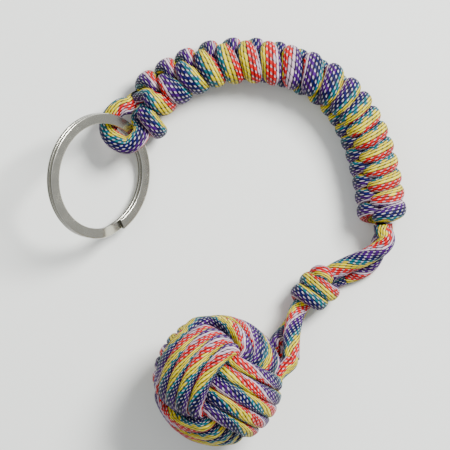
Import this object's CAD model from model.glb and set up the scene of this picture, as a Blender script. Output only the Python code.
# %% [markdown]
# # A monkey fist key fob
# The real fob is tied from one long piece of 4 mm braided cord in rainbow stripes. It is wound
# round a steel ball into a fist, turned round itself into a stopper knot, and tied into a round
# sinnet, which is the handle. Its middle is a bight that holds a split ring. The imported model
# gives the fixed frame: which body each piece belongs to, and the space that it may fill.
# Lengths are in metres and angles in degrees, unless a line says otherwise.

# %% Load the frame
import math

import bpy
import numpy as np
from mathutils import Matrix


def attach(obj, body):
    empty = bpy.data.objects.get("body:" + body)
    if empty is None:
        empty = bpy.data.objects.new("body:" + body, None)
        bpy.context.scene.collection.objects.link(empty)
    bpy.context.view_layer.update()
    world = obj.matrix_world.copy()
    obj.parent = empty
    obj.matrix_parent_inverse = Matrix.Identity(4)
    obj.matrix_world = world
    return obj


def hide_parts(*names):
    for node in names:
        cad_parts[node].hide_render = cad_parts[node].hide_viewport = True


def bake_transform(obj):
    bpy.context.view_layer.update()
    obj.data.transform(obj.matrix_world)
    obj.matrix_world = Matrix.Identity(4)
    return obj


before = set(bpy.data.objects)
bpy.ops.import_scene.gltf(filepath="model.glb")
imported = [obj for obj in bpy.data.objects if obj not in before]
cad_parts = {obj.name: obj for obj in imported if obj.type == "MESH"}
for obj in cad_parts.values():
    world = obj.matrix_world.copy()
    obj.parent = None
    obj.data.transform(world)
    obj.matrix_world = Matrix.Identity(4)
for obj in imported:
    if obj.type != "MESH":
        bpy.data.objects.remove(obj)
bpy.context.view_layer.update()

# %% [markdown]
# ## The camera
# The photograph looks straight down on a fob that lies on a table. An orthographic camera would
# be simple, but a long lens from far away also keeps the little perspective that a photograph
# has. The lens follows from the width that the picture shows, so a change of the height above
# the table doesn't change the framing.

# %% Camera
PIXELS = 450                  # the picture's width and height
PIXEL = 0.000255              # one pixel of the photograph, on the object
VIEW_MIDDLE = (-0.0001, 0.0049, 0.008)
VIEW_HEIGHT = 0.85            # the camera above that point
SENSOR = 36.0                 # width of the camera's sensor, mm
CLIP = (0.05, 10.0)           # the nearest and the furthest that it sees

lens = bpy.data.cameras.new("camera")
lens.sensor_width = SENSOR
lens.lens = SENSOR * VIEW_HEIGHT / (PIXELS * PIXEL)
lens.clip_start, lens.clip_end = CLIP
camera = bpy.data.objects.new("camera", lens)
camera.location = (VIEW_MIDDLE[0], VIEW_MIDDLE[1], VIEW_MIDDLE[2] + VIEW_HEIGHT)
bpy.context.collection.objects.link(camera)
bpy.context.scene.camera = camera
print("lens:", round(lens.lens), "mm, picture width:", round(PIXELS * PIXEL, 4), "m")

# %% [markdown]
# ## Lines
# All that is cord here follows a line in space. A few helpers are enough for all of them: a
# smooth curve through points chosen by hand, the distance along a line, and the same line with
# evenly spaced points. A curve object in Blender could give the smooth curve, but the tubes
# below need its points as numbers, with more values at each. It is plain geometry, so numpy
# does it in a few lines.

# %% Helpers for lines
def unit(v):
    v = np.asarray(v, float)
    return v / np.linalg.norm(v, axis=-1, keepdims=True)


def spline(points, per_span=24):
    """A smooth curve through every point, with centripetal spacing."""
    p = np.asarray(points, float)
    p = np.vstack([2 * p[0] - p[1], p, 2 * p[-1] - p[-2]])
    out = []
    for i in range(1, len(p) - 2):
        knots = [0.0]
        for a, b in zip(p[i - 1:i + 2], p[i:i + 3]):
            knots.append(knots[-1] + math.sqrt(np.linalg.norm(b - a)))
        t0, t1, t2, t3 = knots
        for t in np.linspace(t1, t2, per_span, endpoint=False):
            a1 = (t1 - t) / (t1 - t0) * p[i - 1] + (t - t0) / (t1 - t0) * p[i]
            a2 = (t2 - t) / (t2 - t1) * p[i] + (t - t1) / (t2 - t1) * p[i + 1]
            a3 = (t3 - t) / (t3 - t2) * p[i + 1] + (t - t2) / (t3 - t2) * p[i + 2]
            b1 = (t2 - t) / (t2 - t0) * a1 + (t - t0) / (t2 - t0) * a2
            b2 = (t3 - t) / (t3 - t1) * a2 + (t - t1) / (t3 - t1) * a3
            out.append((t2 - t) / (t2 - t1) * b1 + (t - t1) / (t2 - t1) * b2)
    out.append(p[-2])
    return np.array(out)


def lengths(line):
    """Distance from the first point to each point along the line."""
    return np.concatenate([[0.0], np.cumsum(np.linalg.norm(np.diff(line, axis=0), axis=1))])


def evenly(line, step, *others):
    """The line with a point every step, and the other values of its points at the new ones."""
    run = lengths(line)
    marks = np.linspace(0, run[-1], max(4, round(run[-1] / step) + 1))
    new = np.column_stack([np.interp(marks, run, column) for column in line.T])
    return [new] + [np.interp(marks, run, values) for values in others]


arch = spline([(0, 0, 0), (1, 1, 0), (2, 0, 0)])
print("a curve through three points:", len(arch), "points,", round(lengths(arch)[-1], 2), "long")

# %% [markdown]
# ## The cord as a mesh
# A curve object with a round bevel is the quick way to draw a cord. This cord is pressed flat
# where its turns lie side by side, its stripes wander slowly round it, and its braid has to
# follow it exactly, so a mesh tube with its own UV map serves better. Each ring of the tube
# stands square to the line, wide along the surface that the cord lies on and high away from it.
# Its section is a superellipse: an exponent of 2 gives an ellipse, and more gives flatter sides.

# %% Sizes and section of the cord
CORD = 0.0040                 # diameter of the real cord
LOOSE_WIDTH = 0.0044          # the hollow sheath, lying free, is a little flat
LOOSE_HEIGHT = 0.0037
TABLE = 0.00002               # the cord is pressed flat on the table, whose top is at 0
SIDES = 28                    # corners of a ring of the tube
STEP = 0.00045                # from one ring to the next
ROUND = 2.2                   # exponent of the section where nothing presses on the cord


def section(square):
    """A rounded section one unit wide and high, from its outer side round to the side that
    the cord's way and its outer side make."""
    angles = np.linspace(0, 2 * math.pi, SIDES, endpoint=False)
    high = np.sign(np.cos(angles)) * np.abs(np.cos(angles)) ** (2 / square)
    wide = np.sign(np.sin(angles)) * np.abs(np.sin(angles)) ** (2 / square)
    return wide / 2, high / 2


print("corners of a section:", len(section(ROUND)[0]))

# %% [markdown]
# ### The map for the stripes and the braid
# A UV map tells a material where on the piece it is. An automatic unwrap would cut the tube at
# places of its own choice, so the map is worked out with the mesh. v is the distance along the
# cord in millimetres. u counts how often the row of stripes has come round. It runs from the
# middle of the outer side both ways to the inner side, where its seam is out of sight.

# %% The UV map of a tube
REPEATS = 1.6                 # how often the row of stripes comes round in a turn of the cord
MM = 1000                     # millimetres in a metre


def lay_map(mesh, line, stripe, way_round):
    """u and v for each corner of the tube's faces. The two end faces get none."""
    share = np.arange(SIDES) / SIDES
    share = np.where(share < 0.5, share, share - 1)
    here = share * way_round * REPEATS
    beside = (share + 1 / SIDES) * way_round * REPEATS
    u = np.broadcast_to(stripe, len(line))[:, None]
    v = lengths(line)[:, None] * MM
    corners = np.empty((len(line) - 1, SIDES, 4, 2))
    corners[:, :, 0, 0] = u[:-1] + here
    corners[:, :, 1, 0] = u[:-1] + beside
    corners[:, :, 2, 0] = u[1:] + beside
    corners[:, :, 3, 0] = u[1:] + here
    corners[:, :, 0, 1] = corners[:, :, 1, 1] = v[:-1]
    corners[:, :, 2, 1] = corners[:, :, 3, 1] = v[1:]
    ends = np.zeros((2 * SIDES, 2))
    layer = mesh.uv_layers.new(name="lay")
    layer.data.foreach_set("uv", np.vstack([corners.reshape(-1, 2), ends]).ravel())


print("stripes go round the cord", REPEATS, "times")

# %% [markdown]
# ### The tube
# A skin or screw modifier could wrap a section round a line, but neither lets the section
# change its width, height and roll from point to point. Here every ring is placed on its own,
# and neighbouring rings are joined by faces with four corners. A flat face closes each end, so
# that the mesh has an inside.

# %% The cord maker
def tube(name, line, outward, width, height, stripe, way_round=1, square=ROUND):
    """A closed tube along the line. outward, width, height and stripe hold a value a point, and
    stripe is the place in the row of stripes on the outward side."""
    count = len(line)
    ways = unit(np.gradient(line, axis=0))
    outward = np.asarray(outward, float)
    outward = unit(outward - (outward * ways).sum(axis=1)[:, None] * ways)
    aside = np.cross(ways, outward)
    wide, high = section(square)
    width = np.broadcast_to(width, count)
    height = np.broadcast_to(height, count)
    rings = (line[:, None, :] + aside[:, None, :] * (wide[None, :] * width[:, None])[:, :, None]
             + outward[:, None, :] * (high[None, :] * height[:, None])[:, :, None])
    rings[:, :, 2] = np.maximum(rings[:, :, 2], TABLE)

    index = np.arange(count * SIDES).reshape(count, SIDES)
    after = np.roll(index, -1, axis=1)
    quads = np.stack([index[:-1], after[:-1], after[1:], index[1:]], axis=2).reshape(-1, 4)
    mesh = bpy.data.meshes.new(name)
    faces = quads.tolist() + [index[0, ::-1].tolist(), index[-1].tolist()]
    mesh.from_pydata(rings.reshape(-1, 3).tolist(), [], faces)
    lay_map(mesh, line, stripe, way_round)
    mesh.polygons.foreach_set("use_smooth", [True] * len(quads) + [False, False])
    mesh.update()
    piece = bpy.data.objects.new(name, mesh)
    bpy.context.collection.objects.link(piece)
    print(f"{name}: {lengths(line)[-1] * MM:.0f} mm long, {len(quads) * 2} triangles")
    return piece


print("triangles in a metre of cord:", round(2 * SIDES / STEP))

# %% [markdown]
# ## Shader maths
# A braid is a pattern worked out from two numbers, u and v. Blender works with numbers in a
# material through Math nodes, one for each sign, and that soon fills a screen. The small class
# below wraps a socket, so that the signs + - * / and ** in Python add those nodes. The second
# class holds the material, and its method node adds any other node.

# %% Helpers for materials
class Signal:
    """A socket that carries a number. Python's signs on it add Math nodes."""

    def __init__(self, finish, socket):
        self.finish = finish
        self.socket = socket

    def maths(self, operation, first, second=0.0):
        values = {0: first, 1: second}
        return self.finish.node("ShaderNodeMath", {"operation": operation}, values)

    def __add__(self, other):
        return self.maths("ADD", self, other)

    def __radd__(self, other):
        return self.maths("ADD", other, self)

    def __sub__(self, other):
        return self.maths("SUBTRACT", self, other)

    def __rsub__(self, other):
        return self.maths("SUBTRACT", other, self)

    def __mul__(self, other):
        return self.maths("MULTIPLY", self, other)

    def __truediv__(self, other):
        return self.maths("DIVIDE", self, other)

    def __pow__(self, other):
        return self.maths("POWER", self, other)

    def whole(self):
        return self.maths("FLOOR", self)

    def part(self):
        return self.maths("FRACT", self)

    def size(self):
        return self.maths("ABSOLUTE", self)

    def within(self, low, high):
        """0 below low, 1 above high, and smooth between them."""
        settings = {"interpolation_type": "SMOOTHSTEP"}
        values = {"Value": self, "From Min": low, "From Max": high}
        return self.finish.node("ShaderNodeMapRange", settings, values)


class Finish:
    """A material with one Principled shader."""

    def __init__(self, name):
        self.material = bpy.data.materials.new(name)
        self.material.use_nodes = True
        self.tree = self.material.node_tree
        self.shader = self.tree.nodes["Principled BSDF"]

    def feed(self, socket, value):
        if isinstance(value, Signal):
            self.tree.links.new(value.socket, socket)
        else:
            socket.default_value = value

    def node(self, kind, settings, values, output=0):
        """Adds a node. Its settings come first, then its sockets get values or links. A colour
        ramp's stops and steps are settings too, and it must keep one stop while others change."""
        node = self.tree.nodes.new(kind)
        for name, setting in settings.items():
            if name == "stops":
                for stop in node.color_ramp.elements[1:]:
                    node.color_ramp.elements.remove(stop)
                for place, colour in setting:
                    stop = node.color_ramp.elements.new(place)
                    stop.color = (*colour, 1)
                node.color_ramp.elements.remove(node.color_ramp.elements[0])
            elif name == "steps":
                node.color_ramp.interpolation = setting
            else:
                setattr(node, name, setting)
        for name, value in values.items():
            self.feed(node.inputs[name], value)
        return Signal(self, node.outputs[output])

    def shade(self, **values):
        for name, value in values.items():
            self.feed(self.shader.inputs[name.replace("_", " ").title()], value)


def linear(red, green, blue):
    """Screen colour, 0 to 255, to the linear colour that a shader takes."""
    share = np.array([red, green, blue]) / 255
    return tuple(np.where(share < 0.04045, share / 12.92, ((share + 0.055) / 1.055) ** 2.4))


print("a middle grey of the screen is", round(float(linear(128, 128, 128)[0]), 3), "in a shader")

# %% [markdown]
# ## The braided cord
# The sheath of this cord is braided from many fine yarns, and runs of neighbouring yarns share
# a colour. That gives a row of six stripes along the cord, white, red, yellow, teal, navy and
# purple, which comes round it more than once. Each yarn shows as a long narrow stitch, and
# stitches lie like bricks, half a length on in every other column.
# An image could hold this, but it would be soft up close, and the pattern is easy to work out
# from u and v: the column is the whole part of u times twelve, the row is the whole part of v
# over the stitch length, and what is left over is the place inside the stitch.

# %% Columns and rows of the braid
COLUMNS = 12                  # columns of stitches in one row of stripes
STITCH = 1.3                  # length of a stitch, mm
SLANT = 0.5                   # how much further on a stitch's far side is, in stitches


def braid(finish):
    """How many columns and rows a place on the cord is on from the start, with fractions."""
    place = finish.node("ShaderNodeUVMap", {"uv_map": "lay"}, {})
    u = finish.node("ShaderNodeSeparateXYZ", {}, {0: place}, "X")
    v = finish.node("ShaderNodeSeparateXYZ", {}, {0: place}, "Y")
    columns = (u.part() + 1).part() * COLUMNS
    odd = (columns.whole() / 2).part() * 2
    rows = v / STITCH + (columns.part() - 0.5) * SLANT + odd * 0.5
    return columns, rows


print("stitches round the cord:", round(COLUMNS * REPEATS))

# %% [markdown]
# ### Colours of the yarns
# Each column of stitches has the colour of its stripe. A colour ramp with constant steps gives
# hard borders. In real cord the borders wander, so chance moves a stitch's place in the ramp by
# a little, and some stitches at a border take the neighbour's colour. The dyes are deep, because
# the light on them lifts them again.

# %% The dye
STRAY = 0.07                  # how far chance moves a stitch, as a share of the row of stripes
STRIPES = [                   # where each stripe starts, as a share of the row, and its colour
    (0.00, (206, 178, 196)),
    (0.11, (196, 0, 10)),
    (0.32, (212, 192, 0)),
    (0.54, (0, 92, 104)),
    (0.66, (0, 0, 74)),
    (0.82, (62, 0, 100)),
]


def dye(finish, columns, chance):
    """The colour of a stitch, and a number that is 1 where that is yellow."""
    share = ((columns.whole() + 0.5) / COLUMNS + (chance - 0.5) * STRAY + 1).part()
    stops = [(start, linear(*colour)) for start, colour in STRIPES]
    dyed = finish.node("ShaderNodeValToRGB", {"steps": "CONSTANT", "stops": stops}, {"Fac": share})
    yellow = share.within(0.30, 0.33) * (1 - share.within(0.53, 0.56))
    return dyed, yellow


print("stripes in a row:", len(STRIPES))

# %% [markdown]
# ### Stitches and pale flecks
# A stitch stands up in its middle and sinks at its sides and ends, where the next yarns cross
# it. There a pale yarn comes up as a fleck between one stitch and the next. Both are made from
# the distance to the middle of the stitch. Displacement would bend the mesh itself, but a stitch
# is only a fifth of a millimetre high, so bump is enough.

# %% The stitch
FLECK_WIDE = 0.55             # half the width of a fleck, in half widths of a stitch
FLECK_LONG = 0.52             # and half its length, in half lengths


def stitch(columns, rows):
    """How high a place on a stitch is, from 0 to 1, and how much of a fleck it has."""
    from_middle = (columns.part() - 0.5).size() * 2
    from_centre = (rows.part() - 0.5).size() * 2
    dome = (1 - from_middle ** 3) * (1 - from_centre ** 4)
    aside = from_middle / FLECK_WIDE
    along = (1 - from_centre) / FLECK_LONG
    fleck = 1 - (aside * aside + along * along).within(0.3, 1.1)
    return dome, fleck


print("a fleck is", round(STITCH * FLECK_LONG, 2), "mm long")

# %% [markdown]
# ### The finish of the cord
# The dye is darker where the stitch sinks, and chance makes some stitches lighter than others.
# Flecks are mixed in over it, pale on most colours and light yellow on yellow. Fine noise
# stretched along the stitch stands for its fibres. The cord has a dull shine: some roughness,
# and little of the shader's specular light, or its colours would look washed out.

# %% Cord material
PALE = (226, 218, 222)        # a fleck
PALE_ON_YELLOW = (246, 234, 160)
HEIGHT = 0.00018              # of a stitch


def cord_material():
    finish = Finish("braided_cord")
    columns, rows = braid(finish)
    spot = finish.node("ShaderNodeCombineXYZ", {}, {"X": columns.whole(), "Y": rows.whole()})
    chance = finish.node("ShaderNodeTexWhiteNoise", {"noise_dimensions": "2D"}, {"Vector": spot},
                         "Value")
    dyed, yellow = dye(finish, columns, chance)
    dome, fleck = stitch(columns, rows)
    light = dome * 0.96 + (chance - 0.5) * 0.36 - 0.06
    shaded = finish.node("ShaderNodeMix", {"data_type": "RGBA", "blend_type": "MULTIPLY"}, {
        "Factor": 1.0, 6: dyed,
        7: finish.node("ShaderNodeCombineColor", {}, {0: light, 1: light, 2: light}),
    }, 2)
    pale = finish.node("ShaderNodeMix", {"data_type": "RGBA"}, {
        "Factor": yellow, 6: (*linear(*PALE), 1), 7: (*linear(*PALE_ON_YELLOW), 1),
    }, 2)
    tracer = finish.node("ShaderNodeMix", {"data_type": "RGBA"}, {
        "Factor": fleck * (0.26 + chance * 0.40), 6: shaded, 7: pale,
    }, 2)
    fibres = finish.node("ShaderNodeTexNoise", {"noise_dimensions": "2D"}, {
        "Vector": finish.node("ShaderNodeCombineXYZ", {}, {"X": rows * 1.2, "Y": columns * 5}),
        "Scale": 1.0, "Detail": 2.0,
    })
    bump = finish.node("ShaderNodeBump", {}, {
        "Strength": 0.6, "Distance": HEIGHT, "Height": dome * 0.85 + fibres * 0.15,
    })
    finish.shade(base_color=tracer, roughness=0.55, normal=bump)
    finish.shader.inputs["Specular IOR Level"].default_value = 0.15
    return finish.material


cord_finish = cord_material()
print("nodes in the cord's material:", len(cord_finish.node_tree.nodes))

# %% [markdown]
# ## The fist
# A monkey fist is three bands of turns round a ball, each square to the other two. Every band
# passes over one neighbour and under the other, and here each has five turns. Fifteen rings
# round a ball would look much the same from afar, but they wouldn't be one cord, and its bends
# at the corners would be missing. So the cord is one line by a formula: it lies on an outer
# sphere where its band is on top, drops to an inner sphere to pass under the next band, and
# steps over by its own width in each turn. The solid follows the same line, with thinner cord.

# %% One turn of the fist
FIST_TURNS = 5
FIST_PITCH = 0.00342          # from one turn of a band to the next
FIST_OUTER = 0.0150           # centre to strand where a band lies on top
FIST_INNER = 0.0117           # and where it lies below the next one
FIST_DROP = (35.0, 62.0)      # where it goes down, in degrees from the middle of the top pass
FIST_DRAW = 0.92              # width of a band on its inner passes, as a share of the outer ones
FIST_B = (0.489, 0.872, 0.009)     # how the fist lies: the ways of two of its three axes
FIST_C = (0.671, -0.384, 0.634)


def ease(t):
    """0 to 1 with no jerk at either end."""
    t = np.clip(t, 0.0, 1.0)
    return t * t * t * (t * (6 * t - 15) + 10)


def mix(low, high, share):
    """From low at a share of 0 to high at a share of 1."""
    return low + (high - low) * share


def fist_frame():
    c = unit(FIST_C)
    b = unit(np.array(FIST_B) - np.dot(FIST_B, c) * c)
    return np.column_stack([b, np.cross(c, b), c])


def fist_turn(band, corner, angle):
    step = sum(ease((angle - 360 * k + 135) / 90) for k in range(1, FIST_TURNS))
    a = math.radians(angle)
    side = FIST_PITCH * ((FIST_TURNS - 1) / 2 - step) * (1 - (1 - FIST_DRAW) * math.sin(a) ** 2)
    from_top = abs((angle + 90) % 180 - 90)
    low = ease((from_top - FIST_DROP[0]) / (FIST_DROP[1] - FIST_DROP[0]))
    r = math.sqrt(mix(FIST_OUTER, FIST_INNER, low) ** 2 - side ** 2)
    p = np.zeros(3)
    p[band] = corner[band] * side
    p[(band + 2) % 3] = corner[(band + 2) % 3] * r * math.cos(a)
    p[(band + 1) % 3] = -corner[(band + 1) % 3] * r * math.sin(a)
    return p


high, low = (np.linalg.norm(fist_turn(0, np.ones(3), angle)) * MM for angle in (0, 90))
print(f"a turn lies {high:.1f} mm from the centre on top, and {low:.1f} mm below")

# %% [markdown]
# ### The ends of the fist's cord
# Both ends of the cord leave the fist at one corner, between the turns, and run on to the
# stopper knot. The cord could simply stop at the surface, but then its cut end would show. So
# each end starts at a root below the turns and comes out straight.

# %% The ends
FIST_EXIT = (0.01691, 0.01695)     # centre to the place where each end leaves the corner
FIST_EXIT_SIDE = ((-0.00183, -0.00111, 0.00257), (-0.00332, -0.00033, 0.00297))
FIST_EXIT_WAY = ((0.1, 0.934, -0.343), (-0.211, 0.922, -0.324))
FIST_EXIT_BEND = ((0.39, 1.52), (0.34, 1.54))     # out and on to the bend, in cords
FIST_LEAD = 0.0026            # straight on from the bend
FIST_ROOT = 0.0135            # centre to the root below the turns
FIST_SOLID_CORD = 0.00235     # the solid's cord, which sets where its ends are


def fist_exit(corner, order, end):
    """An end of the cord, where it leaves the fist at the corner and runs straight out."""
    out_way = unit(corner)
    side = np.zeros(3)
    side[list(order)] = FIST_EXIT_SIDE[end]
    base = out_way * FIST_EXIT[end] + side * corner
    away = unit(FIST_EXIT_WAY[end]) @ fist_frame()
    outward, on = FIST_EXIT_BEND[end]
    bend = base + (out_way * outward + away * on) * FIST_SOLID_CORD
    tip = bend + away * FIST_LEAD
    root = out_way * FIST_ROOT + side * corner
    return [root, (root + tip) / 2, tip - away * FIST_LEAD / 4, tip]


first_end = fist_exit(np.array([1.0, -1.0, 1.0]), (0, 1, 2), 0)
print(f"the first end reaches {np.linalg.norm(first_end[-1]) * MM:.1f} mm from the centre")

# %% [markdown]
# ### Stripes round the fist
# Cord that is wound by hand also turns about itself, so every turn shows the row of stripes at
# another place. Chance could set that, but then the colours would lie elsewhere than on the real
# fist. Two numbers for each turn say which stripe is in the middle of its pass on top and of the
# pass behind, and between them the stripes go round evenly.

# %% The stripes
FIST_STRIPES = (              # stripe in the middle of each turn's two top passes, band by band
    ((-0.16, -0.04, 0.50, 0.29, 0.59), (0.84, 0.96, 0.50, 0.29, 0.59)),
    ((0.06, 0.10, 0.12, 0.10, 0.06), (0.20, 0.05, -0.20, 0.15, 0.30)),
    ((0.60, 0.39, 0.36, 0.40, 0.44), (0.60, 0.39, 0.36, 0.40, 0.44)))
FIST_ROWS = 3.7               # rows of stripes that go by in one turn of the fist
FIST_PASS = 45                # half a top pass


def fist_rows(angles, middles):
    """The stripe at each angle: an even twist over the top pass and over the one behind it."""
    marks, rows = [], []
    for turn, (front, back) in enumerate(zip(middles[0], middles[1])):
        for at, middle in ((360 * turn, front), (360 * turn + 180, back)):
            if rows:
                middle += round(rows[-1] + FIST_ROWS * 2 * FIST_PASS / 360 - middle)
            for past in (-FIST_PASS, FIST_PASS):
                marks.append(at + past)
                rows.append(middle + FIST_ROWS * past / 360)
    return np.interp(angles, marks, rows)


whole_band = fist_rows((0, 360 * (FIST_TURNS - 1)), FIST_STRIPES[0])
print("rows of stripes along the first band:", round(float(np.ptp(whole_band)), 1))

# %% [markdown]
# ### The whole fist
# The three bands are one after the other on the line, with a bend over a corner between them.
# The formula's points are far apart, so a smooth curve goes through them. Near its two ends the
# cord isn't pressed by its neighbours, and it widens from the pressed to the loose section.

# %% Fist
FIST_CENTRE = (-0.0019, -0.0344, 0.01573)
FIST_POINTS = 12              # points of the formula in a quarter of a turn
FIST_TRIM = 18.0              # how far a band stops short of its corner
FIST_CORNER = 0.0158          # centre to the bend over a corner
FIST_SPAN = 5                 # points of the curve from one of the formula's points to the next
FIST_WIDTH = 0.0036           # the cord where its turns press on each other
FIST_HEIGHT = 0.0032
FIST_SQUARE = 3.0             # and the exponent of its section there
FIST_LOOSE = 0.006            # the length over which an end gets its loose section


def fist_line():
    """Points of the whole cord in the fist's own axes, and the stripe at each of them."""
    last = 360 * FIST_TURNS - 135
    count = FIST_POINTS * (4 * FIST_TURNS - 1)
    angles = np.linspace(FIST_TRIM - 45, last - FIST_TRIM, count)
    corner = np.array([1.0, -1.0, 1.0])
    points = fist_exit(corner, (0, 1, 2), 0)[::-1]
    stripes = []
    for band in range(3):
        turns = [fist_turn(band, corner, a) for a in angles]
        row = fist_rows(angles, FIST_STRIPES[band])
        if band:
            points.append(unit(points[-1] + turns[0]) * FIST_CORNER)
            row += round(stripes[-1] - row[0])
            stripes.append((stripes[-1] + row[0]) / 2)
        else:
            stripes = [row[0]] * len(points)
        points += turns
        stripes += row.tolist()
        corner[band] *= -1
        corner[(band + 2) % 3] *= -1
    end = fist_exit(corner, (2, 0, 1), 1)
    return points + end, stripes + [stripes[-1]] * len(end)


fist_centre = np.array(FIST_CENTRE)
fist, fist_stripes = fist_line()
marks = np.arange((len(fist) - 1) * FIST_SPAN + 1) / FIST_SPAN
fist_stripes = np.interp(marks, np.arange(len(fist)), fist_stripes)
fist = spline(fist, FIST_SPAN) @ fist_frame().T + fist_centre
fist, fist_stripes = evenly(fist, STEP, fist_stripes)
run = lengths(fist)
tight = ease(np.minimum(run, run[-1] - run) / FIST_LOOSE)
fist_winding = tube("fist", fist, fist - fist_centre, mix(LOOSE_WIDTH, FIST_WIDTH, tight),
                    mix(LOOSE_HEIGHT, FIST_HEIGHT, tight), fist_stripes, -1, FIST_SQUARE)
fist_winding.data.materials.append(cord_finish)
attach(fist_winding, "fist")
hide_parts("fist_winding")
print("the fist's ends, in mm:", (fist[[0, -1]] * MM).round(1).tolist())

# %% [markdown]
# ## The handle
# The handle is a round sinnet of two strands, also called a snake knot. Each strand makes the
# outer turns on its own side, then dives inside the other strand's turns and comes back. Seen
# from outside, one strand gives the big bars, nineteen of them, and the other shows at the seam
# where the bars dive. A coil round a core would give the bars but not the seam. The line in the
# middle of the handle lies level, so points in a plane give it.

# %% The handle's middle line
HANDLE_RISE = 0.0058          # height of the handle's middle line above the table
HANDLE_ROUTE = [
    (-0.0213, 0.0357), (-0.0158, 0.0400), (-0.0109, 0.0429), (-0.0050, 0.0456),
    (0.0037, 0.0470), (0.0114, 0.0465), (0.0190, 0.0444), (0.0254, 0.0411),
    (0.0307, 0.0362), (0.0344, 0.0302), (0.0369, 0.0240), (0.0385, 0.0177),
    (0.0395, 0.0120), (0.0403, 0.0050)]


def handle_axis():
    flat = spline([(*p, 0) for p in HANDLE_ROUTE])[:, :2]
    return np.column_stack([flat, np.full(len(flat), HANDLE_RISE)])


print(f"the handle is {lengths(handle_axis())[-1] * MM:.0f} mm long")

# %% [markdown]
# ### A strand of the handle
# Both strands follow one formula, half a turn apart: the angle round the handle's middle line
# grows steadily, and the distance from it swaps between an outer and an inner value. Real knots
# aren't that even, so short tables bend the formula. The bars are further apart in the first
# half, which is tied more loosely, and the seam turns slowly round the handle. The strand swells
# where it lies outside as a bar, and is thin where it dives.

# %% One strand
HANDLE_SWEEP = (-440.0, 6355.0)    # angle round the middle line at the two mouths
HANDLE_POINTS = 612
HANDLE_SPAN = 3               # points of the curve from one of these points to the next
HANDLE_OUT = 0.0043           # middle line to strand in a bar
HANDLE_IN = 0.0015            # and inside the other strand's bars
HANDLE_SWAP = 25.0            # the change takes twice this angle
HANDLE_LEVEL = 0.8            # how square to the handle the bars are, from 0 to 1
HANDLE_REACH = [              # share of the turns, and share of the length that they fill
    (0.0, 0.0), (0.52, 0.60), (1.0, 1.0)]
HANDLE_TWIST = [              # share of the way along the handle, and turn of its seam
    (0.0, 155.0), (0.2, 122.0), (0.4, 96.0), (0.6, 66.0), (0.8, 38.0), (1.0, 25.0)]
HANDLE_NEAR = 0.0028          # the handle's mouth to its first turn
HANDLE_FAR = 0.0008           # and its last turn to the far mouth
HANDLE_MOUTH = (-20.0, 280.0)      # where the strands come in and go out
SOLID_CORD = 0.0034           # the solids' plain strand, which sets where its ends are
GAP = 0.0003                  # and the least gap between two of them
LEAD_RADIUS = (SOLID_CORD + GAP) / 2
LEAD_CORD = CORD * 0.9        # the strand in the handle's mouths
BAR_WIDTHS = (0.0054, 0.0045)      # an outer turn in the first half and in the second
BAR_CHANGE = (0.45, 0.60)     # share of the turns from which and up to which the width changes
BAR_HEIGHT = 0.0042
BAR_SWELL = 62.0              # angle over which a strand grows to its full size
TIP_WIDTH = 0.0032            # the same strand where it dives
TIP_HEIGHT = 0.0030
INNER_WIDTH = 0.0026          # and inside
INNER_HEIGHT = 0.0020
NEARBY = 0.0002               # distance for measuring which way the middle line goes


def sinnet(side, stripes):
    """One strand: its line, and for each point its outward way, width, height and stripe."""
    axis = handle_axis()
    run = lengths(axis)
    first, last = HANDLE_SWEEP
    travel = run[-1] - HANDLE_NEAR - HANDLE_FAR

    def twist(along):
        return np.interp((along - HANDLE_NEAR) / travel, *np.transpose(HANDLE_TWIST))

    def spot(along, angle, radius):
        turn = math.radians(angle + side)
        here, back, ahead = (
            np.array([np.interp(along + shift, run, column) for column in axis.T])
            for shift in (0, -NEARBY, NEARBY))
        outward = np.cross((0, 0, 1), unit(ahead - back))
        across = outward * math.cos(turn) + np.array([0, 0, math.sin(turn)])
        return here + radius * across, across

    points = [(*spot(0, HANDLE_MOUTH[0], LEAD_RADIUS), LEAD_CORD, LEAD_CORD, first)]
    for angle in np.linspace(first, last, HANDLE_POINTS):
        level = math.degrees(HANDLE_LEVEL / 2 * math.sin(2 * math.radians(angle)))
        share = (angle + level - first) / (last - first)
        along = HANDLE_NEAR + travel * np.interp(share, *np.transpose(HANDLE_REACH))
        bar_width = np.interp(share, BAR_CHANGE, BAR_WIDTHS)
        past = abs((angle + 180) % 360 - 180) - 90
        inside = ease(past / (2 * HANDLE_SWAP) + 0.5)
        full = (INNER_WIDTH, INNER_HEIGHT) if past > 0 else (bar_width, BAR_HEIGHT)
        swell = ease(abs(past) / BAR_SWELL)
        wide = mix(TIP_WIDTH, full[0], swell)
        high = mix(TIP_HEIGHT, full[1], swell)
        radius = mix(HANDLE_OUT, HANDLE_IN, inside)
        points.append((*spot(along, angle + twist(along), radius), wide, high, angle))
    points.append((*spot(run[-1], HANDLE_MOUTH[1], LEAD_RADIUS), LEAD_CORD, LEAD_CORD, last))
    line, outward, wide, high, angle = (np.array(column) for column in zip(*points))
    marks = np.arange((len(line) - 1) * HANDLE_SPAN + 1) / HANDLE_SPAN
    at = np.arange(len(line))
    values = [np.interp(marks, at, column) for column in (*outward.T, wide, high, angle)]
    line, x, y, z, wide, high, angle = evenly(spline(line, HANDLE_SPAN), STEP, *values)
    stripe = np.interp(angle / 360 + 1, *np.transpose(stripes))
    return line, np.column_stack([x, y, z]), wide, high, stripe


print("turns of a strand:", round((HANDLE_SWEEP[1] - HANDLE_SWEEP[0]) / 360, 1))

# %% [markdown]
# ### Stripes and meshes of the handle
# As in the fist, each bar shows the row of stripes at another place. It shifts from bar to bar in
# small steps, which makes long bands of one colour along the handle, with a jump here and there.
# Two tables hold the stripe in the middle of each bar. The strands wrap each other in opposite
# ways, so the stripes go round the second one the other way.

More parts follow.
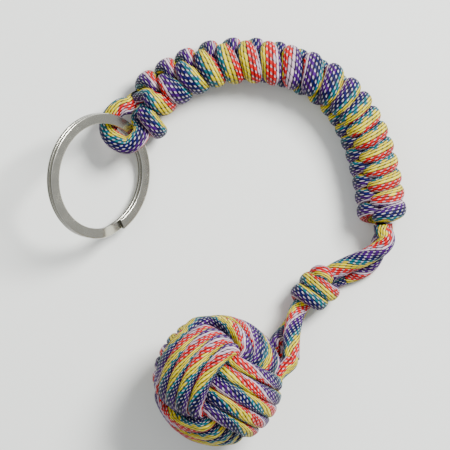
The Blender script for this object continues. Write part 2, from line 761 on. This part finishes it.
# %% Handle
BAR_STRIPES = [               # turn along the handle, and stripe on the first strand
    (-0.2, 1.60), (0, 1.42), (1, 0.85), (2, 0.68), (3, 0.54), (4, 0.42), (5, 0.31), (6, 0.21),
    (7, 0.06), (8, -0.18), (9, -0.28), (10, -0.30), (11, -0.43), (12, -0.55), (13, -0.62),
    (14, -0.62), (15, -0.63), (16, -0.66), (17, -0.74), (18, -1.20), (18.7, -1.40)]
UNDER_STRIPES = [             # and on the second
    (-0.2, 1.02), (3, 0.95), (6, 0.80), (8, 0.60), (10, 0.58), (12, 0.66), (14, 0.74), (16, 0.80),
    (18.7, 0.90)]

handle_lines = []
for name, side, stripes, way_round in (("a", 0, BAR_STRIPES, 1), ("b", 180, UNDER_STRIPES, -1)):
    line, outward, wide, high, stripe = sinnet(side, stripes)
    handle_lines.append(line)
    strand = tube(f"sinnet_{name}", line, outward, wide, high, stripe, way_round)
    strand.data.materials.append(cord_finish)
    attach(strand, "handle")
    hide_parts(f"handle_strand_{name}")
print("strands of the handle:", len(handle_lines))

# %% [markdown]
# ## The stopper knot
# Between the neck and the fist, one cord turns round the other and back under itself. A tied
# knot could be drawn point by point, but only its turns show, so it is a short helix round the
# straight strand, which narrows towards the fist and is seen from above as two bars. A single
# bend of cord stands up like an ear where the turned cord comes in. It is a second short tube,
# joined to the helix as one object.

# %% The line of the stopper knot
KNOT_CENTRE = (0.0226, -0.0122)
KNOT_AXIS = (-0.69, -0.73)
KNOT_START = -45.0            # angle at which the turns start
KNOT_TURNS = 1.85
KNOT_PITCH = 0.0037
KNOT_TAPER = 0.24             # how much narrower the knot is at the fist's end
KNOT_STEPS = 16               # points in a turn
KNOT_BEND = 0.18              # turn over which the cord bends in at the start and at the end
KNOT_LEAD = 0.0034            # the cord before and after its turns
KNOT_WAYS = ((-0.93, -0.36, 0.0), (-0.47, -0.88, 0.12))     # and which way it runs there
KNOT_RADIUS = SOLID_CORD + GAP
KNOT_RISE = KNOT_RADIUS + SOLID_CORD * 0.4

knot_centre = np.array([*KNOT_CENTRE, KNOT_RISE])
knot_way = unit((*KNOT_AXIS, 0))


def knot_line():
    across = np.cross((0, 0, 1), knot_way)
    up = np.array([0, 0, 1])
    half = KNOT_PITCH * KNOT_TURNS / 2
    points = []
    for t in np.linspace(-KNOT_BEND, KNOT_TURNS + KNOT_BEND, int(KNOT_STEPS * KNOT_TURNS) + 5):
        inside = np.clip(t, 0, KNOT_TURNS)
        soft = inside + KNOT_BEND * 0.3 * (math.tanh((t - inside) / KNOT_BEND * 2))
        a = 2 * math.pi * soft + math.radians(KNOT_START)
        along = KNOT_PITCH * inside - half + (t - inside) / KNOT_BEND * KNOT_LEAD * 0.5
        reach = across * math.cos(a) + up * math.sin(a)
        radius = KNOT_RADIUS * (1 - KNOT_TAPER * inside / KNOT_TURNS)
        points.append(knot_centre + knot_way * along + radius * reach)
    points.insert(0, points[0] - unit(KNOT_WAYS[0]) * KNOT_LEAD)
    points.append(points[-1] + unit(KNOT_WAYS[1]) * KNOT_LEAD)
    return np.array(points)


knot = knot_line()
print("points on the knot's line:", len(knot))

# %% [markdown]
# ### The meshes of the knot
# The cord's outer side looks away from the knot's axis, so its stripes run round the knot. The
# ear's outer side looks away from the middle of its own points. A boolean could melt the two
# tubes into one skin, but where one cord lies on another there is a crease, so they are only
# joined as one object.

# %% Stopper knot
KNOT_WIDTH = CORD * 1.05
KNOT_HEIGHT = CORD * 0.9
KNOT_STRIPE = (0.25, 0.60)    # stripe where the turned cord comes in, and its change
KNOT_EAR = [                  # the bend that stands up where the turned cord comes in
    (0.0257, -0.0097, 0.0040), (0.0259, -0.0082, 0.0066), (0.0251, -0.0073, 0.0080),
    (0.0240, -0.0070, 0.0080), (0.0230, -0.0076, 0.0068), (0.0227, -0.0090, 0.0048)]
EAR_WIDTH = 0.0036
EAR_HEIGHT = 0.0034
EAR_STRIPE = 0.22


def join(piece, extra):
    """Makes the second object part of the first one's mesh."""
    bpy.ops.object.select_all(action="DESELECT")
    extra.select_set(True)
    piece.select_set(True)
    bpy.context.view_layer.objects.active = piece
    bpy.ops.object.join()


line, = evenly(spline(knot, 12), STEP)
away = line - knot_centre
away = away - (away @ knot_way)[:, None] * knot_way
stripe = KNOT_STRIPE[0] + KNOT_STRIPE[1] * lengths(line) / lengths(line)[-1]
stopper = tube("stopper", line, away, KNOT_WIDTH, KNOT_HEIGHT, stripe, -1)
line, = evenly(spline(KNOT_EAR), STEP)
ear_middle = np.mean(KNOT_EAR, axis=0)
join(stopper, tube("ear", line, line - ear_middle, EAR_WIDTH, EAR_HEIGHT, EAR_STRIPE, -1))
stopper.data.materials.append(cord_finish)
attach(stopper, "knot")
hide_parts("stopper_knot")
print("faces of the stopper knot:", len(stopper.data.polygons))

# %% [markdown]
# ## The free strands
# Two cords run from the handle's mouth to the knot, and two on to the fist. They are slack
# and lie in soft bends. A cloth or rope simulation could drape them, but would not lay them as
# they lie in the photograph, so their routes are points chosen by eye along the real cord. Each
# strand crosses a joint and bends with it, from the piece that it leaves to the piece that it
# reaches. It has to turn about itself as evenly as real cord, so its outer side is carried on
# from point to point and never jumps.

# %% Routes and helpers of the free strands
STRAIGHT = GAP + SOLID_CORD / 3    # a strand runs straight on this far past the piece it joins
NECK_ROUTE_A = [
    (0.0409, 0.0023, 0.0075), (0.0411, 0.0010, 0.0076), (0.0402, -0.0005, 0.0076),
    (0.0384, -0.0018, 0.0074), (0.0350, -0.0037, 0.0068), (0.0310, -0.0054, 0.0060),
    (0.0268, -0.0077, 0.0051)]
NECK_ROUTE_B = [
    (0.0404, 0.0022, 0.0034), (0.0397, 0.0006, 0.0029), (0.0390, -0.0013, 0.0024),
    (0.0383, -0.0033, 0.0020), (0.0368, -0.0054, 0.0019), (0.0343, -0.0070, 0.0018)]
FIST_ROUTE_A = [
    (0.0187, -0.0166, 0.0054), (0.0175, -0.0198, 0.0079), (0.0168, -0.0238, 0.0115)]
FIST_ROUTE_B = [
    (0.0160, -0.0221, 0.0030), (0.0146, -0.0236, 0.0054)]


def joined(first, route, last):
    """A route from the end of one line to the end of another, square to both."""
    start = [first[0] + unit(first[0] - first[1]) * d for d in (0, STRAIGHT)]
    stop = [last[0] + unit(last[0] - last[1]) * d for d in (STRAIGHT, 0)]
    return spline([*start, *route, *stop])


def rolled(line, stripe):
    """Outward ways that turn no more than the line does, and even steps between two stripes."""
    ways = unit(np.gradient(line, axis=0))
    up = np.array([0.0, 0.0, 1.0])
    out = [unit(up - np.dot(up, ways[0]) * ways[0])]
    for way in ways[1:]:
        out.append(unit(out[-1] - np.dot(out[-1], way) * way))
    return np.array(out), np.linspace(stripe[0], stripe[1], len(line))


def free_strand(name, line, replaced, stripe, way_round=1):
    line, = evenly(line, STEP)
    outward, stripes = rolled(line, stripe)
    strand = tube(name, line, outward, LOOSE_WIDTH, LOOSE_HEIGHT, stripes, way_round)
    strand.data.materials.append(cord_finish)
    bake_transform(strand)
    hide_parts(replaced)


routes = (NECK_ROUTE_A, NECK_ROUTE_B, FIST_ROUTE_A, FIST_ROUTE_B)
print("points on the routes:", [len(route) for route in routes])

# %% [markdown]
# ### The four free strands
# A strand starts square to the end of the line that it carries on, which hides the cut between
# two pieces. At the handle's mouth both leave along the handle's middle line. In the knot, one
# passes straight through, and the other carries on the turned cord.

# %% Strands of the neck and below the knot
handle_a, handle_b = handle_lines
mouth_way = unit(np.subtract(*np.array(handle_axis())[[-1, -2]])) * 0.001
through_up = (knot_centre - knot_way * GAP * 0.2, knot_centre + knot_way)
through_down = (knot_centre + knot_way * GAP * 0.2, knot_centre - knot_way)
neck = [joined((handle_b[-1], handle_b[-1] - mouth_way), NECK_ROUTE_A, through_up),
        joined((handle_a[-1], handle_a[-1] - mouth_way), NECK_ROUTE_B, (knot[0], knot[1]))]
drop = [joined(through_down, FIST_ROUTE_A, (fist[0], fist[1])),
        joined((knot[-1], knot[-2]), FIST_ROUTE_B, (fist[-1], fist[-2]))]
free_strand("neck_a", neck[0], "neck_strand_a", (0.50, -1.30))
free_strand("neck_b", neck[1], "neck_strand_b", (-0.05, 1.30), -1)
free_strand("drop_a", drop[0], "fist_strand_a", (0.70, -0.80))
free_strand("drop_b", drop[1], "fist_strand_b", (0.45, 1.20), -1)

# %% [markdown]
# ## The bight
# The middle of the cord is a loop that comes out of the handle, goes under the wire of the
# split ring and back over it. Next to the handle, the first turn of its cord goes round one leg
# of this bight, and is looser than the turns that follow. It could be part of the handle's
# strand, but the formula of that strand has no place for it, and it has to bend with the bight.
# So it is a short tube of its own, joined to the bight. The bight moves with the ring from
# less than half of its way out, so that it stays clear of the handle's first bar.

# %% Routes of the bight and of the first turn
BIGHT_ROUTE = [
    (-0.0248, 0.0354, 0.0059), (-0.0268, 0.0350, 0.0068), (-0.0290, 0.0330, 0.0064),
    (-0.0300, 0.0308, 0.0067), (-0.0296, 0.0282, 0.0075), (-0.0277, 0.0262, 0.0085),
    (-0.0249, 0.0252, 0.0087), (-0.0226, 0.0266, 0.0088), (-0.0212, 0.0292, 0.0076),
    (-0.0219, 0.0321, 0.0062)]

FIRST_TURN = [
    (-0.0202, 0.0362, 0.0034), (-0.0208, 0.0346, 0.0070), (-0.0200, 0.0327, 0.0096),
    (-0.0184, 0.0307, 0.0100), (-0.0173, 0.0293, 0.0080), (-0.0170, 0.0289, 0.0050),
    (-0.0182, 0.0300, 0.0024), (-0.0204, 0.0332, 0.0022)]

bight = joined((handle_a[0], handle_a[1]), BIGHT_ROUTE, (handle_b[0], handle_b[1]))
print(f"the bight's line is {lengths(bight)[-1] * MM:.0f} mm long")

# %% [markdown]
# ### The meshes of the bight
# The bight is slack and rather wide. Its outer side is carried on from point to point, like that
# of the free strands, and the outer side of the first turn looks away from its own middle.

# %% Bight
BIGHT_WIDTH = CORD * 1.15
BIGHT_HEIGHT = CORD * 0.95
BIGHT_STRIPES = (-0.77, 0.01)
BIGHT_SIDE = 3                # the bend is measured towards this point of the route
BIGHT_BEND = 0.45             # share of the way to it at which the bight moves with the ring
FIRST_WIDTH = 0.0044
FIRST_HEIGHT = 0.0036
FIRST_STRIPE = 0.76

line, = evenly(bight, STEP)
outward, stripes = rolled(line, BIGHT_STRIPES)
loop = tube("bight", line, outward, BIGHT_WIDTH, BIGHT_HEIGHT, stripes)
line, = evenly(spline(FIRST_TURN), STEP)
turn_middle = np.mean(FIRST_TURN, axis=0)
join(loop, tube("first_turn", line, line - turn_middle, FIRST_WIDTH, FIRST_HEIGHT, FIRST_STRIPE))
loop.data.materials.append(cord_finish)
mouth = (handle_a[0] + handle_b[0]) / 2
mouth + (np.array(BIGHT_ROUTE[BIGHT_SIDE]) - mouth) * BIGHT_BEND
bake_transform(loop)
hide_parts("ring_bight")
print("faces of the bight and the first turn:", len(loop.data.polygons))

# %% [markdown]
# ## The split ring
# The ring is one flat steel wire wound in two coils that lie on each other, with a step where
# each end of the wire meets the other coil. A torus would miss both the slot and the step, so
# the wire is swept along its own line, like a cord with a flat section.

# %% The line of the wire
RING_OUTER = 0.032            # diameter of the ring
RING_BAND = 0.0026            # width of the wire, from the ring's outside to its inside
RING_WIRE = 0.00095           # thickness of a coil
RING_SPLIT = 0.00015          # gap between the coils
RING_JOG = 14.0               # half the angle over which the wire steps to the other level
RING_CENTRE = (-0.0321, 0.0174, 0.0112)
RING_NORMAL = (0.648, -0.103, 0.755)
RING_NOTCH = (2.2, -13.8)     # where the step is, seen from above, from the centre, mm
RING_STEPS = 150              # sections in a coil


def ring_frame():
    n = unit(RING_NORMAL)
    x = unit(np.cross((0, 1, 0), n))
    return np.column_stack([x, np.cross(n, x), n])


def ring_line():
    axes = ring_frame()
    dx, dy = RING_NOTCH
    n = axes[:, 2]
    dz = -(n[0] * dx + n[1] * dy) / n[2]
    notch = math.atan2(*(np.array([dx, dy, dz]) @ axes[:, [1, 0]]))
    mean = (RING_OUTER - RING_BAND) / 2
    rise = (RING_WIRE + RING_SPLIT) / 2
    jog = math.radians(RING_JOG)
    angles = np.linspace(jog * 1.15, 4 * math.pi - jog * 1.15, 2 * RING_STEPS)
    level = rise * (1 - 2 * ease((angles - 2 * math.pi + jog) / (2 * jog)))
    turn = angles + notch
    flat = np.column_stack([mean * np.cos(turn), mean * np.sin(turn), level])
    out = np.column_stack([np.cos(turn), np.sin(turn), np.zeros(len(turn))])
    return flat @ axes.T + np.array(RING_CENTRE), out @ axes.T


line, outward = ring_line()
print(f"the wire is {lengths(line)[-1] * MM:.0f} mm long, in {len(line)} sections")

# %% [markdown]
# ### Polished steel
# A metal shows mostly what it reflects. The real ring lies in a room with dark parts and
# windows, so the narrow sides of its wire are dark and its edges bright. Here the surroundings
# are an even grey, and a plain metal would look flat. A picture of a room could light the ring,
# but it would light the cord and the floor too. So the metal's own colour changes across the
# wire, which u of its map tells. Fine noise makes the wear.

# %% Steel material
EDGES = [                     # from the middle of the wire's outer side to that of its inner side
    (0.00, (92, 90, 82)), (0.10, (104, 102, 92)), (0.16, (252, 251, 244)), (0.24, (190, 188, 174)),
    (0.76, (190, 188, 174)), (0.84, (252, 251, 244)), (0.90, (96, 94, 86)), (1.00, (88, 86, 78))]
BALL_STEEL = (176, 176, 178)


def steel(name, roughness, edges):
    """Polished steel, darker on the narrow sides of the wire and bright on its edges."""
    finish = Finish(name)
    place = finish.node("ShaderNodeTexCoord", {}, {}, "Object")
    across = finish.node("ShaderNodeUVMap", {"uv_map": "lay"}, {})
    across = finish.node("ShaderNodeSeparateXYZ", {}, {0: across}, "X")
    tone = finish.node("ShaderNodeValToRGB", {
        "stops": [(start, linear(*colour)) for start, colour in edges],
    }, {"Fac": across.size() / (REPEATS / 2)})
    scratches = finish.node("ShaderNodeTexNoise", {}, {
        "Vector": place, "Scale": 2600.0, "Detail": 4.0})
    wear = finish.node("ShaderNodeTexNoise", {}, {"Vector": place, "Scale": 420.0, "Detail": 3.0})
    bump = finish.node("ShaderNodeBump", {}, {
        "Strength": 0.25, "Distance": 0.00002, "Height": scratches})
    finish.shade(base_color=tone, metallic=1.0,
                 roughness=roughness + (wear - 0.5) * 0.22, normal=bump)
    return finish.material


ring_finish = steel("ring_steel", 0.24, EDGES)
ball_finish = steel("ball_steel", 0.2, [(0.0, BALL_STEEL), (1.0, BALL_STEEL)])
print("metals:", ring_finish.name, "and", ball_finish.name)

# %% [markdown]
# ### The ring and the ball
# The wire is a tube with nearly square corners. The ball inside the fist is round already in the
# solids, so it keeps its shape and only gets its metal.

# %% Split ring
RING_SQUARE = 7

ring = tube("ring_wire", line, outward, RING_WIRE, RING_BAND, 0.0, square=RING_SQUARE)
ring.data.materials.append(ring_finish)
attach(ring, "ring")
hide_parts("split_ring")

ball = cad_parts["steel_ball"]
for slot in ball.material_slots:
    slot.material = ball_finish
print("faces of the ring:", len(ring.data.polygons))

# %% [markdown]
# ## Floor and light
# The photograph has a pale grey floor and soft light from the upper right, with soft shadows
# to the lower left. A sun lamp would cut hard shadows, so a large area light gives the soft
# edge, a weak one fills from the left, and a pale world lights the rest evenly.

# %% Floor
FLOOR_SIZE = 3
FLOOR_COLOUR = (236, 238, 232)


def floor_finish():
    finish = Finish("table_top")
    place = finish.node("ShaderNodeTexCoord", {}, {}, "Object")
    grain = finish.node("ShaderNodeTexNoise", {}, {"Vector": place, "Scale": 300.0})
    finish.shade(base_color=(*linear(*FLOOR_COLOUR), 1), roughness=0.7 + grain * 0.1)
    return finish.material


bpy.ops.object.select_all(action="DESELECT")
bpy.ops.mesh.primitive_plane_add(size=FLOOR_SIZE)
floor = bpy.context.object
floor.name = "floor"
floor.data.materials.append(floor_finish())
print("floor:", FLOOR_SIZE, "m wide")

# %% [markdown]
# ### Sky and lamps
# Each lamp looks at the middle of the table. Its size sets how soft its shadows are, and its
# power how much it stands out from the sky.

# %% Light
SKY_COLOUR = (0.93, 0.95, 1.0, 1)
SKY_STRENGTH = 0.60
LAMPS = {                     # place, width and power in watts
    "key": ((0.42, 0.38, 0.60), 0.30, 17.0),
    "fill": ((-0.5, 0.3, 0.7), 0.6, 1.5),
}

sky = bpy.data.worlds.new("sky")
sky.use_nodes = True
background = sky.node_tree.nodes["Background"]
background.inputs["Color"].default_value = SKY_COLOUR
background.inputs["Strength"].default_value = SKY_STRENGTH
bpy.context.scene.world = sky


def area_light(name, place, size, power):
    data = bpy.data.lights.new(name, "AREA")
    data.size = size
    data.energy = power
    light = bpy.data.objects.new(name, data)
    light.location = place
    aim = unit(np.array(place))
    light.rotation_euler = (math.acos(aim[2]), 0, math.atan2(aim[1], aim[0]) + math.pi / 2)
    bpy.context.collection.objects.link(light)


for name, (place, size, power) in LAMPS.items():
    area_light(name, place, size, power)
print("lights:", " and ".join(LAMPS))
